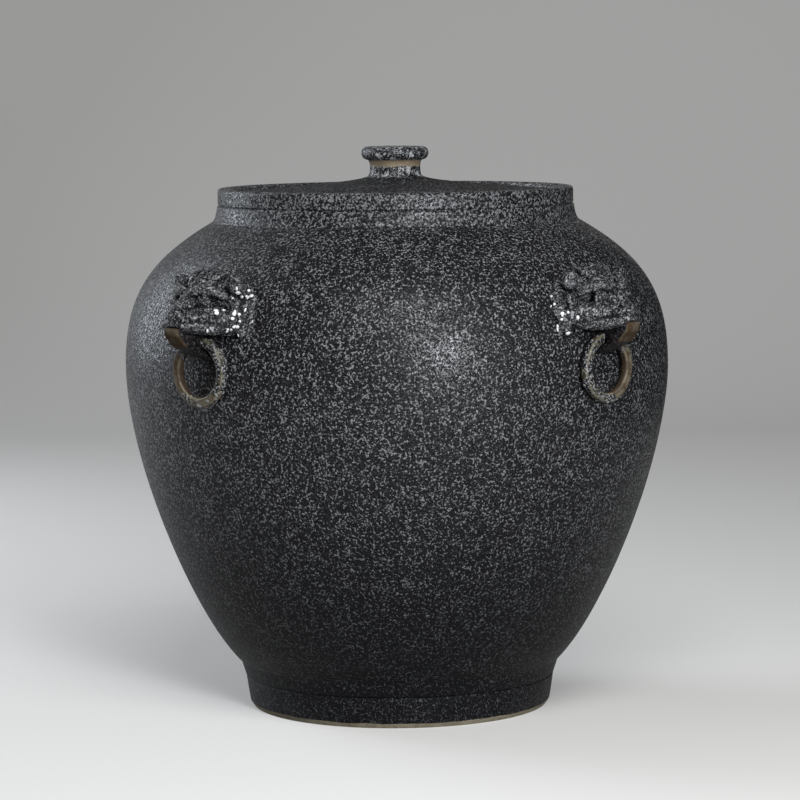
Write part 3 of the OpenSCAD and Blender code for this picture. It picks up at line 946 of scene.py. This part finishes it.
class PICKLEJAR_OT_model_tongues(bpy.types.Operator):
    """Model the tongues with their bores, glazed at the sides and bare in front"""
    bl_idname = "picklejar.model_tongues"
    bl_label = "Model the tongues"

    def execute(self, context):
        material = self.tongue_finish()
        for place in PLACES:
            mesh = self.tongue(context.scene.mask_sizes, REACH[place])
            mesh.materials.append(material)
            obj = new_object(place + "_lug", turned_copy(mesh, place + "_lug", turn_of(place)))
            finish_piece(obj, "jar", (place + "_tongue",))
        return {"FINISHED"}

    @staticmethod
    def tongue(m, reach):
        """A ring of rounded sections round the bore, as wide as the lug's outline asks."""
        pivot_r, pivot_z = math.hypot(PIVOT.x, PIVOT.y), PIVOT.z
        outer = m.bore_r + 0.0040
        tip = m.tongue_out - (1 - reach) * 0.030
        corners = [Vector(p) for p in ((-0.0098, -outer), (0.0, -outer), (tip - 0.0066, -0.0012),
                                       (tip, 0.0062), (tip, outer + 0.0020),
                                       (tip - 0.004, outer + 0.0026), (0.006, outer + 0.0006),
                                       (-0.0098, outer))]
        turns, across_n = 96, 40
        half = m.tongue_w / 2
        verts, front = [], []
        for i in range(turns):
            phi = math.tau * i / turns
            way = Vector((math.cos(phi), math.sin(phi)))
            hits = (ray_to_edge(way, a, b) for a, b in zip(corners, corners[1:] + corners[:1]))
            edge_r = min(t for t in hits if t is not None)
            middle, span = (m.bore_r + edge_r) / 2, (edge_r - m.bore_r) / 2
            for k in range(across_n):
                a = math.tau * k / across_n
                ca, sa = math.cos(a), math.sin(a)
                power = 0.42
                r = middle + span * math.copysign(abs(ca) ** power, ca)
                w = half * math.copysign(abs(sa) ** power, sa)
                p = Vector((pivot_r + r * way.x, w, pivot_z + r * way.y))
                wobble = noise.noise(p * 160.0) * 0.00035
                shrink = 1 - 0.05 * max(0.0, (p.x - pivot_r) / tip)
                p = Vector((p.x - abs(wobble), (w + wobble) * shrink, p.z + 0.4 * wobble))
                verts.append(p)
                side = Vector((p.x - pivot_r, p.z - pivot_z))
                face = min(beside(side, corners[2], corners[3]), beside(side, corners[3], corners[4]))
                front.append(1.0 if face < 0.0012 else 0.0)
        mesh = bpy.data.meshes.new("lug")
        mesh.from_pydata(verts, [], loop_faces(turns, across_n))
        outwards(mesh)
        store(mesh, "front", neighbour_mean(mesh, np.array(front), 2))
        return mesh

    @staticmethod
    def tongue_finish():
        c = bpy.context.scene.glaze_colours
        f = Finish("tongue_clay")
        grain = f.noise(700.0, 2.0)
        patch = f.noise(190.0, 2.0)
        bare = f.attribute("front").rise(0.35, 0.65)
        brown = f.mix(patch.rise(0.35, 0.7), tuple(0.45 * a for a in c.burnt),
                      tuple(0.24 * a for a in c.clay))
        wash = f.mix(f.noise(420.0, 2.0).rise(0.42, 0.62), tuple(0.3 * a for a in c.wash), tuple(c.wash))
        wash = f.mix(speckle(f, 0.0034, 0.3) * 0.3, wash, tuple(c.speck))
        colour = f.mix(bare, wash, brown)
        return f.close(colour, 0.6 + 0.2 * bare, patch + 0.5 * grain, 0.0004, Specular_IOR_Level=0.1)


def beside(p, a, b):
    """Distance from p to the stretch from a to b."""
    edge = b - a
    t = min(1.0, max(0.0, (p - a).dot(edge) / edge.length_squared))
    return (p - a - t * edge).length


def ray_to_edge(way, a, b):
    """Distance from the origin along way to the edge from a to b, or None."""
    edge = b - a
    cross = way.x * edge.y - way.y * edge.x
    if abs(cross) < 1e-12:
        return None
    t = (a.x * edge.y - a.y * edge.x) / cross
    s = (a.x * way.y - a.y * way.x) / cross
    return t if t > 0 and -1e-9 <= s <= 1 + 1e-9 else None


class PICKLEJAR_OT_roll_rings(bpy.types.Operator):
    """Roll the loose rings that hang in the tongues, with bare clay where they touched"""
    bl_idname = "picklejar.roll_rings"
    bl_label = "Roll the rings"

    def execute(self, context):
        m = context.scene.mask_sizes
        material = self.ring_finish()
        for number, place in enumerate(PLACES):
            lo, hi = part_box(place + "_ring")
            mesh = self.ring(m, (lo.z + hi.z) / 2, number)
            mesh.transform(Matrix.Rotation(turn_of(place), 4, "Z"))
            mesh.name = place + "_loop"
            mesh.materials.append(material)
            obj = new_object(place + "_loop", mesh)
            finish_piece(obj, "ring_" + place, (place + "_ring",))
        return {"FINISHED"}

    @staticmethod
    def ring(m, centre_z, number):
        pivot_r = math.hypot(PIVOT.x, PIVOT.y)
        around, section = 128, 28
        i, k = np.meshgrid(np.arange(around), np.arange(section), indexing="ij")
        phi, a = math.tau * i / around, math.tau * k / section
        power = 0.82
        ca, sa = np.cos(a), np.sin(a)
        inward = m.ring_r + m.bar_r * np.sign(ca) * np.abs(ca) ** power * 0.97
        out = m.bar_r * np.sign(sa) * np.abs(sa) ** power * 0.97
        verts = np.stack([pivot_r + out, inward * np.cos(phi), centre_z + inward * np.sin(phi)], axis=-1)
        verts = verts.reshape(-1, 3)
        wobble = np.array([noise.noise(Vector(v) * 130.0 + Vector((number * 7.0, 0, 0))) for v in verts])
        middle = np.array((pivot_r, 0, centre_z))
        spoke = verts - middle
        spoke[:, 0] = 0
        spoke /= np.linalg.norm(spoke, axis=1)[:, None]
        core = middle + spoke * m.ring_r
        verts = core + (verts - core) * (0.955 + 0.045 * wobble)[:, None]
        mesh = bpy.data.meshes.new("loop")
        mesh.from_pydata([tuple(v) for v in verts], [], loop_faces(around, section))
        outwards(mesh)
        co = coordinates(mesh)
        angle = np.degrees(np.arctan2(co[:, 1], -(co[:, 2] - centre_z)))
        side = (-1 if number % 2 == 0 else 1) * angle
        near = np.exp(-((side - 75) / 55.0) ** 2)
        patch = np.array([noise.noise(Vector(v) * 95.0 + Vector((0, number * 5.0, 3.0))) for v in co])
        store(mesh, "bare", np.clip(near + 0.8 * patch + 0.15, 0, 1))
        away = np.hypot(co[:, 1], co[:, 2] - centre_z) - m.ring_r
        store(mesh, "inner", np.clip(-away / m.bar_r, 0, 1))
        drip = np.clip(1.3 - near * 2.2 + 0.5 * patch, 0, 1) * np.clip((away / m.bar_r + 0.3), 0, 1)
        store(mesh, "drops", drip * (side < 60))
        # The bar's two front edges, kept for the painted highlight along them
        corner = np.degrees(a).ravel()
        store(mesh, "corner", np.exp(-((corner - 135) / 12) ** 2) + np.exp(-((corner - 45) / 9) ** 2))
        return mesh

    @staticmethod
    def ring_finish():
        c = bpy.context.scene.glaze_colours
        f = Finish("ring_clay")
        grain = f.noise(800.0, 2.0)
        patch = f.noise(240.0, 2.0)
        bare = (f.attribute("bare") + 0.35 * (patch - 0.5)).rise(0.42, 0.58)
        brown = f.mix((patch + 0.3 * grain).rise(0.45, 0.85), tuple(0.5 * a for a in c.burnt),
                      tuple(0.4 * a for a in c.clay))
        brown = f.mix(f.attribute("inner").rise(0.1, 0.6) * 0.85, brown, tuple(0.25 * v for v in c.burnt))
        specks = speckle(f, 0.0032, 0.6)
        glaze = f.mix(specks, tuple(c.ground), tuple(1.3 * v for v in c.speck))
        olive = f.noise(150.0, 1.0).rise(0.48, 0.60)
        glaze = f.mix(olive * 0.5, glaze, (0.085, 0.078, 0.045))
        colour = f.mix(bare, glaze, brown)
        # Painted highlight: pale clay colour along the bar's two front edges
        worn = f.attribute("corner") * (0.35 + 0.65 * f.noise(210.0, 2.0).rise(0.42, 0.56))
        colour = f.mix(worn * 0.75, colour, tuple(0.8 * a for a in c.clay))
        height = (1 - bare) * (0.6 + 0.8 * specks) + 0.35 * grain
        return f.close(colour, 0.5 + 0.2 * bare + 0.1 * grain, height, 0.0003, Specular_IOR_Level=0.2)


class PICKLEJAR_OT_drop_glaze(bpy.types.Operator):
    """Scatter thick white drops of glaze on the manes and the rings"""
    bl_idname = "picklejar.drop_glaze"
    bl_label = "Drop white glaze"

    def execute(self, context):
        m = context.scene.mask_sizes
        material = self.drop_finish()
        parts = []
        for number, place in enumerate(PLACES):
            host = bpy.data.objects[place + "_lion"].data.copy()
            host.transform(Matrix.Rotation(-turn_of(place), 4, "Z"))
            co = coordinates(host) / MM
            toward_front = co[:, 1] * (1 if number in (0, 2) else -1)
            weight = np.clip((toward_front - DROPS_FROM[place]) / 7, 0, 1)
            weight *= np.clip((281 - co[:, 2]) / 10, 0.15, 1)
            patch = np.array([noise.noise(Vector(v) * 0.16 + Vector((number, 2, 0))) for v in co])
            store(host, "drops", weight * np.clip(patch * 4.0 + 0.2, 0, 1))
            host.transform(Matrix.Rotation(turn_of(place), 4, "Z"))
            parts.append(self.drops(host, m.drops, m.seed + number, material, "mane_drops"))
        joined = new_object("mane_drops", join_meshes(parts, "mane_drops"))
        finish_piece(joined, "jar", ())
        for number, place in enumerate(PLACES):
            host = bpy.data.objects[place + "_loop"].data.copy()
            mesh = self.drops(host, m.drops * 0.6, m.seed + 10 + number, material, place + "_loop_drops")
            finish_piece(new_object(place + "_loop_drops", mesh), "ring_" + place, ())
        return {"FINISHED"}

    @staticmethod
    def drops(host, density, seed, material, name):
        mesh = run_tree(name, host, drop_tree(), {"Density": float(density), "Seed": seed, "Drop": 0.0012,
                                                  "Material": material})
        return outwards(mesh)

    @staticmethod
    def drop_finish():
        c = bpy.context.scene.glaze_colours
        f = Finish("white_drops")
        spots = f.noise(900.0, 1.0)
        colour = f.mix(spots.rise(0.3, 0.6), tuple(0.45 * v for v in c.drop), tuple(c.drop))
        return f.close(colour, 0.42 + 0.2 * spots, spots, 0.0002, Specular_IOR_Level=0.3)


def drop_tree():
    """Small flattened blobs on the faces, as thick as the 'drops' attribute says."""
    if "Drops" in bpy.data.node_groups:
        return bpy.data.node_groups["Drops"]
    tree = Tree("Drops")
    density = tree.named("Density", "NodeSocketFloat")
    seed = tree.named("Seed", "NodeSocketInt")
    drop = tree.named("Drop", "NodeSocketFloat")
    material = tree.named("Material", "NodeSocketMaterial")
    weight = tree.node("GeometryNodeInputNamedAttribute", {"data_type": "FLOAT"}, {"Name": "drops"})
    amount = tree.maths("MULTIPLY", weight, density)
    spread = tree.node("GeometryNodeDistributePointsOnFaces", {"distribute_method": "RANDOM"},
                       {"Mesh": tree.entry.outputs[0], "Density": amount, "Seed": seed})
    facing = spread.node.outputs["Rotation"]
    blob = tree.node("GeometryNodeMeshIcoSphere", inputs={"Radius": drop, "Subdivisions": 2})
    scale = tree.node("FunctionNodeRandomValue", {"data_type": "FLOAT_VECTOR"},
                      {0: (0.5, 0.5, 0.3), 1: (1.3, 1.3, 0.62), "Seed": seed})
    placed = tree.node("GeometryNodeInstanceOnPoints", inputs={
        "Points": spread, "Instance": blob, "Rotation": facing, "Scale": scale})
    return tree.end(placed, material)


def join_meshes(meshes, name):
    bm = bmesh.new()
    for mesh in meshes:
        bm.from_mesh(mesh)
    joined = bpy.data.meshes.new(name)
    bm.to_mesh(joined)
    bm.free()
    joined.materials.append(meshes[0].materials[0])
    joined.shade_smooth()
    return joined


class PICKLEJAR_OT_throw_lid(bpy.types.Operator):
    """Throw the lid with its low dome, and the skirt that stands in the water"""
    bl_idname = "picklejar.throw_lid"
    bl_label = "Throw the lid"

    def execute(self, context):
        s = context.scene.lid_sizes
        edge_z = s.under_z + s.lid_t
        rise = s.top_z - edge_z
        skirt_in = s.skirt_r - s.skirt_t
        hollow_r = skirt_in - 0.002
        edge = arc((s.lid_r - 0.0025, edge_z - 0.0025), 0.0025, 0, 90)
        dome = curve((s.lid_r - 0.0025, edge_z), (s.lid_r * 0.67, edge_z + rise * 0.42),
                     (s.stem_foot_r + 0.0093, edge_z + rise * 0.6), (s.stem_foot_r, s.top_z), 40)
        under = curve((hollow_r, s.under_z), (hollow_r * 0.87, s.under_z),
                      (hollow_r * 0.77, s.under_z + s.hollow), (hollow_r * 0.55, s.under_z + s.hollow), 16)
        loop = [(0.0, s.under_z + s.hollow)] + under[::-1] + [(s.lid_r - 0.001, s.under_z),
                                                             (s.lid_r, s.under_z + 0.001)]
        loop += edge + dome[1:] + [(0.0, s.top_z)]
        thrown("lid_dome", stepped(loop, 0.003), self.lid_glaze(), "lid", ("lid_plate",),
               uneven=0.0002)
        top_z = s.under_z - 0.00005
        lip = s.skirt_t / 2
        skirt = [(skirt_in, top_z)] + arc((skirt_in + lip, s.skirt_foot + lip), lip, 180, 360, 12)
        skirt += [(s.skirt_r, top_z), (skirt_in, top_z)]
        skirt = stepped(skirt, 0.003)
        thrown("lid_skirt_ring", skirt, glazed("skirt_glaze"), "lid", ("lid_skirt",),
               uneven=0.0)
        return {"FINISHED"}

    @staticmethod
    def lid_glaze():
        def dusty(f, colour, height, roughness):
            dust = f.noise(300.0, 2.0).rise(0.35, 0.75)
            return f.mix(dust * 0.08, colour, (0.05, 0.045, 0.04)), height, roughness + 0.15

        return glazed("lid_glaze", loose=0.45, gloss=0.08, shaped=dusty)


class PICKLEJAR_OT_throw_knob(bpy.types.Operator):
    """Throw the waisted stem with its bare throat, and the knob"""
    bl_idname = "picklejar.throw_knob"
    bl_label = "Throw the knob"

    def execute(self, context):
        s = context.scene.lid_sizes
        h = s.knob_z - s.top_z
        low = curve((s.stem_foot_r, s.top_z), (s.stem_r + (s.stem_foot_r - s.stem_r) * 0.4, s.top_z),
                    (s.stem_r, s.top_z + 0.2 * h), (s.stem_r, s.top_z + 0.45 * h), 12)
        high = curve((s.stem_r, s.top_z + 0.6 * h), (s.stem_r, s.top_z + 0.8 * h),
                     (s.stem_r + (s.throat_r - s.stem_r) * 0.4, s.knob_z), (s.throat_r, s.knob_z), 12)
        stem = [(0.0, s.top_z)] + low + high + [(0.0, s.knob_z)]
        thrown("stem", stepped(stem, 0.0012), self.stem_finish(s), "lid", ("knob_stem",),
               segments=120, uneven=0.0002)
        half = (s.knob_top - s.knob_z) / 2
        middle = s.knob_z + half
        cap = [(0.0, s.knob_z)] + arc((s.knob_r - half, middle), half, -90, 90, 20)
        dip = curve((s.knob_r - half, s.knob_top), (s.knob_r * 0.45, s.knob_top),
                    (s.knob_r * 0.4, s.knob_top - 0.0008), (0.0, s.knob_top - 0.0009), 12)
        cap += dip[1:]
        thrown("knob_cap", stepped(cap, 0.0012), glazed("knob_glaze", spacing=0.0034, loose=0.8, frost=0.6),
               "lid", ("knob",), segments=120, uneven=0.0004)
        return {"FINISHED"}

    @staticmethod
    def stem_finish(s):
        def bare_throat(f, colour, height, roughness):
            z = f.axes()[2]
            wander = f.noise(160.0, 2.0) - 0.5
            edge = s.knob_z - 0.0042
            bare = (z + wander * 0.003).rise(edge - 0.0004, edge + 0.0004)
            throat = f.mix(0.5, bare_clay_colour(f), tuple(bpy.context.scene.glaze_colours.burnt))
            colour = f.mix(bare, colour, throat)
            return colour, height * (1 - 0.7 * bare), roughness + 0.2 * bare

        return glazed("stem_glaze", spacing=0.0034, loose=0.8, frost=0.4, shaped=bare_throat)


class PICKLEJAR_OT_set_stage(bpy.types.Operator):
    """Set up the pale floor, the soft light and the camera"""
    bl_idname = "picklejar.set_stage"
    bl_label = "Set the stage"

    def execute(self, context):
        t = context.scene.stage_settings
        self.sweep(t)
        self.lamps(t)
        self.flag()
        self.camera(context, t)
        context.scene.view_settings.view_transform = "Standard"
        return {"FINISHED"}

    @staticmethod
    def shown_pale(f, colour, dim):
        """The stage's colour as the camera and reflections see it, and a dimmer one for the rest."""
        path = f.node("ShaderNodeLightPath", output="Is Camera Ray")
        node = path.socket.node
        seen = path.highest(Value(f, node.outputs["Is Glossy Ray"]))
        seen = seen.highest(Value(f, node.outputs["Is Transmission Ray"]))
        return f.mix(seen, tuple(dim * v for v in colour), colour)

    def sweep(self, t):
        """A floor that curves up into the backdrop."""
        outline = [(-6.0, 0.0), (1.6, 0.0)] + [
            (1.6 + 1.2 * math.sin(a), 1.2 - 1.2 * math.cos(a)) for a in np.linspace(0.05, math.pi / 2, 24)]
        outline.append((2.8, 5.0))
        verts = [(x, y, z) for y, z in outline for x in (-6.0, 6.0)]
        faces = [(2 * i, 2 * i + 1, 2 * i + 3, 2 * i + 2) for i in range(len(outline) - 1)]
        mesh = bpy.data.meshes.new("floor_sweep")
        mesh.from_pydata(verts, [], faces)
        mesh.shade_smooth()
        f = Finish("pale_floor")
        base = self.shown_pale(f, tuple(t.floor_colour), 0.10)
        lift = self.shown_pale(f, tuple(0.22 * v for v in t.floor_colour), 0.0)
        mesh.materials.append(f.close(base, 0.85, Specular_IOR_Level=0.2, Emission_Color=lift,
                                      Emission_Strength=1.0))
        new_object("floor_sweep", mesh)

    @staticmethod
    def flag():
        """A black board beside the jar, out of sight, that keeps its right side dark."""
        mesh = bpy.data.meshes.new("black_board")
        mesh.from_pydata([(0.8, -0.5, 0.0), (0.8, -0.5, 1.3), (0.6, 1.3, 1.3), (0.6, 1.3, 0.0)], [],
                         [(0, 1, 2, 3)])
        mesh.materials.append(Finish("black_cloth").close((0.01, 0.01, 0.01, 1.0), 0.9))
        board = new_object("black_board", mesh)
        board.visible_camera = False
        board.visible_shadow = False

    @staticmethod
    def lamps(t):
        for name, power, azimuth, elevation, distance, width, height, tint in (
                ("key_light", t.key * 0.85, -73.0, 12.0, 1.7, 0.4, 0.4, (0.92, 0.96, 1.0)),
                ("side_light", t.side, -212.0, 20.0, 1.6, 0.9, 1.2, (0.86, 0.92, 1.0)),
                ("front_light", t.key * 0.7, -84.0, 44.0, 1.9, 1.0, 0.8, (1.0, 1.0, 1.0))):
            lamp = bpy.data.lights.new(name, "AREA")
            lamp.shape = "RECTANGLE"
            lamp.size, lamp.size_y = width, height
            lamp.energy = power
            lamp.color = tint
            obj = new_object(name, lamp)
            a, e = math.radians(azimuth), math.radians(elevation)
            way = Vector((math.cos(a) * math.cos(e), math.sin(a) * math.cos(e), math.sin(e)))
            obj.location = Vector((0, 0, 0.2)) + way * distance
            obj.rotation_euler = way.to_track_quat("Z", "Y").to_euler()
        world = bpy.data.worlds.new("studio")
        bpy.context.scene.world = world
        world.use_nodes = True
        sky = world.node_tree.nodes["Background"]
        sky.inputs["Color"].default_value = (0.94, 0.97, 1.0, 1.0)
        sky.inputs["Strength"].default_value = t.fill

    @staticmethod
    def camera(context, t):
        data = bpy.data.cameras.new("camera")
        data.lens = t.lens
        data.sensor_width = 24.0
        data.sensor_fit = "HORIZONTAL"
        data.clip_end = 50.0
        obj = new_object("camera", data)
        obj.location = (t.distance * math.cos(t.azimuth), t.distance * math.sin(t.azimuth), t.height)
        heading = t.azimuth + math.pi / 2 + t.pan
        turn = (Matrix.Rotation(heading, 4, "Z") @ Matrix.Rotation(math.pi / 2 - t.pitch, 4, "X")
                @ Matrix.Rotation(t.roll, 4, "Z"))
        obj.rotation_euler = turn.to_euler()
        context.scene.camera = obj


OPERATORS = (
    PICKLEJAR_OT_throw_wall, PICKLEJAR_OT_trim_foot, PICKLEJAR_OT_throw_collar,
    PICKLEJAR_OT_model_masks, PICKLEJAR_OT_model_tongues, PICKLEJAR_OT_roll_rings,
    PICKLEJAR_OT_drop_glaze, PICKLEJAR_OT_throw_lid, PICKLEJAR_OT_throw_knob, PICKLEJAR_OT_set_stage)


class PICKLEJAR_PT_workshop(bpy.types.Panel):
    """Sizes, colours and steps of the pickle jar"""
    bl_idname = "PICKLEJAR_PT_workshop"
    bl_label = "Pickle jar"
    bl_space_type = "VIEW_3D"
    bl_region_type = "UI"
    bl_category = "Pickle Jar"

    def draw(self, context):
        for name, group in GROUPS.items():
            box = self.layout.box()
            box.label(text=name.replace("_", " ").capitalize())
            for prop in group.__annotations__:
                box.prop(getattr(context.scene, name), prop)
        for operator in OPERATORS:
            self.layout.operator(operator.bl_idname)


CLASSES = (*GROUPS.values(), *OPERATORS, PICKLEJAR_PT_workshop)


def register():
    for cls in CLASSES:
        bpy.utils.register_class(cls)
    for name, group in GROUPS.items():
        setattr(bpy.types.Scene, name, PointerProperty(type=group))


def unregister():
    for name in GROUPS:
        delattr(bpy.types.Scene, name)
    for cls in reversed(CLASSES):
        bpy.utils.unregister_class(cls)


def main():
    register()
    for operator in OPERATORS:
        getattr(bpy.ops.picklejar, operator.bl_idname.split(".")[1])()


if __name__ == "__main__":
    main()
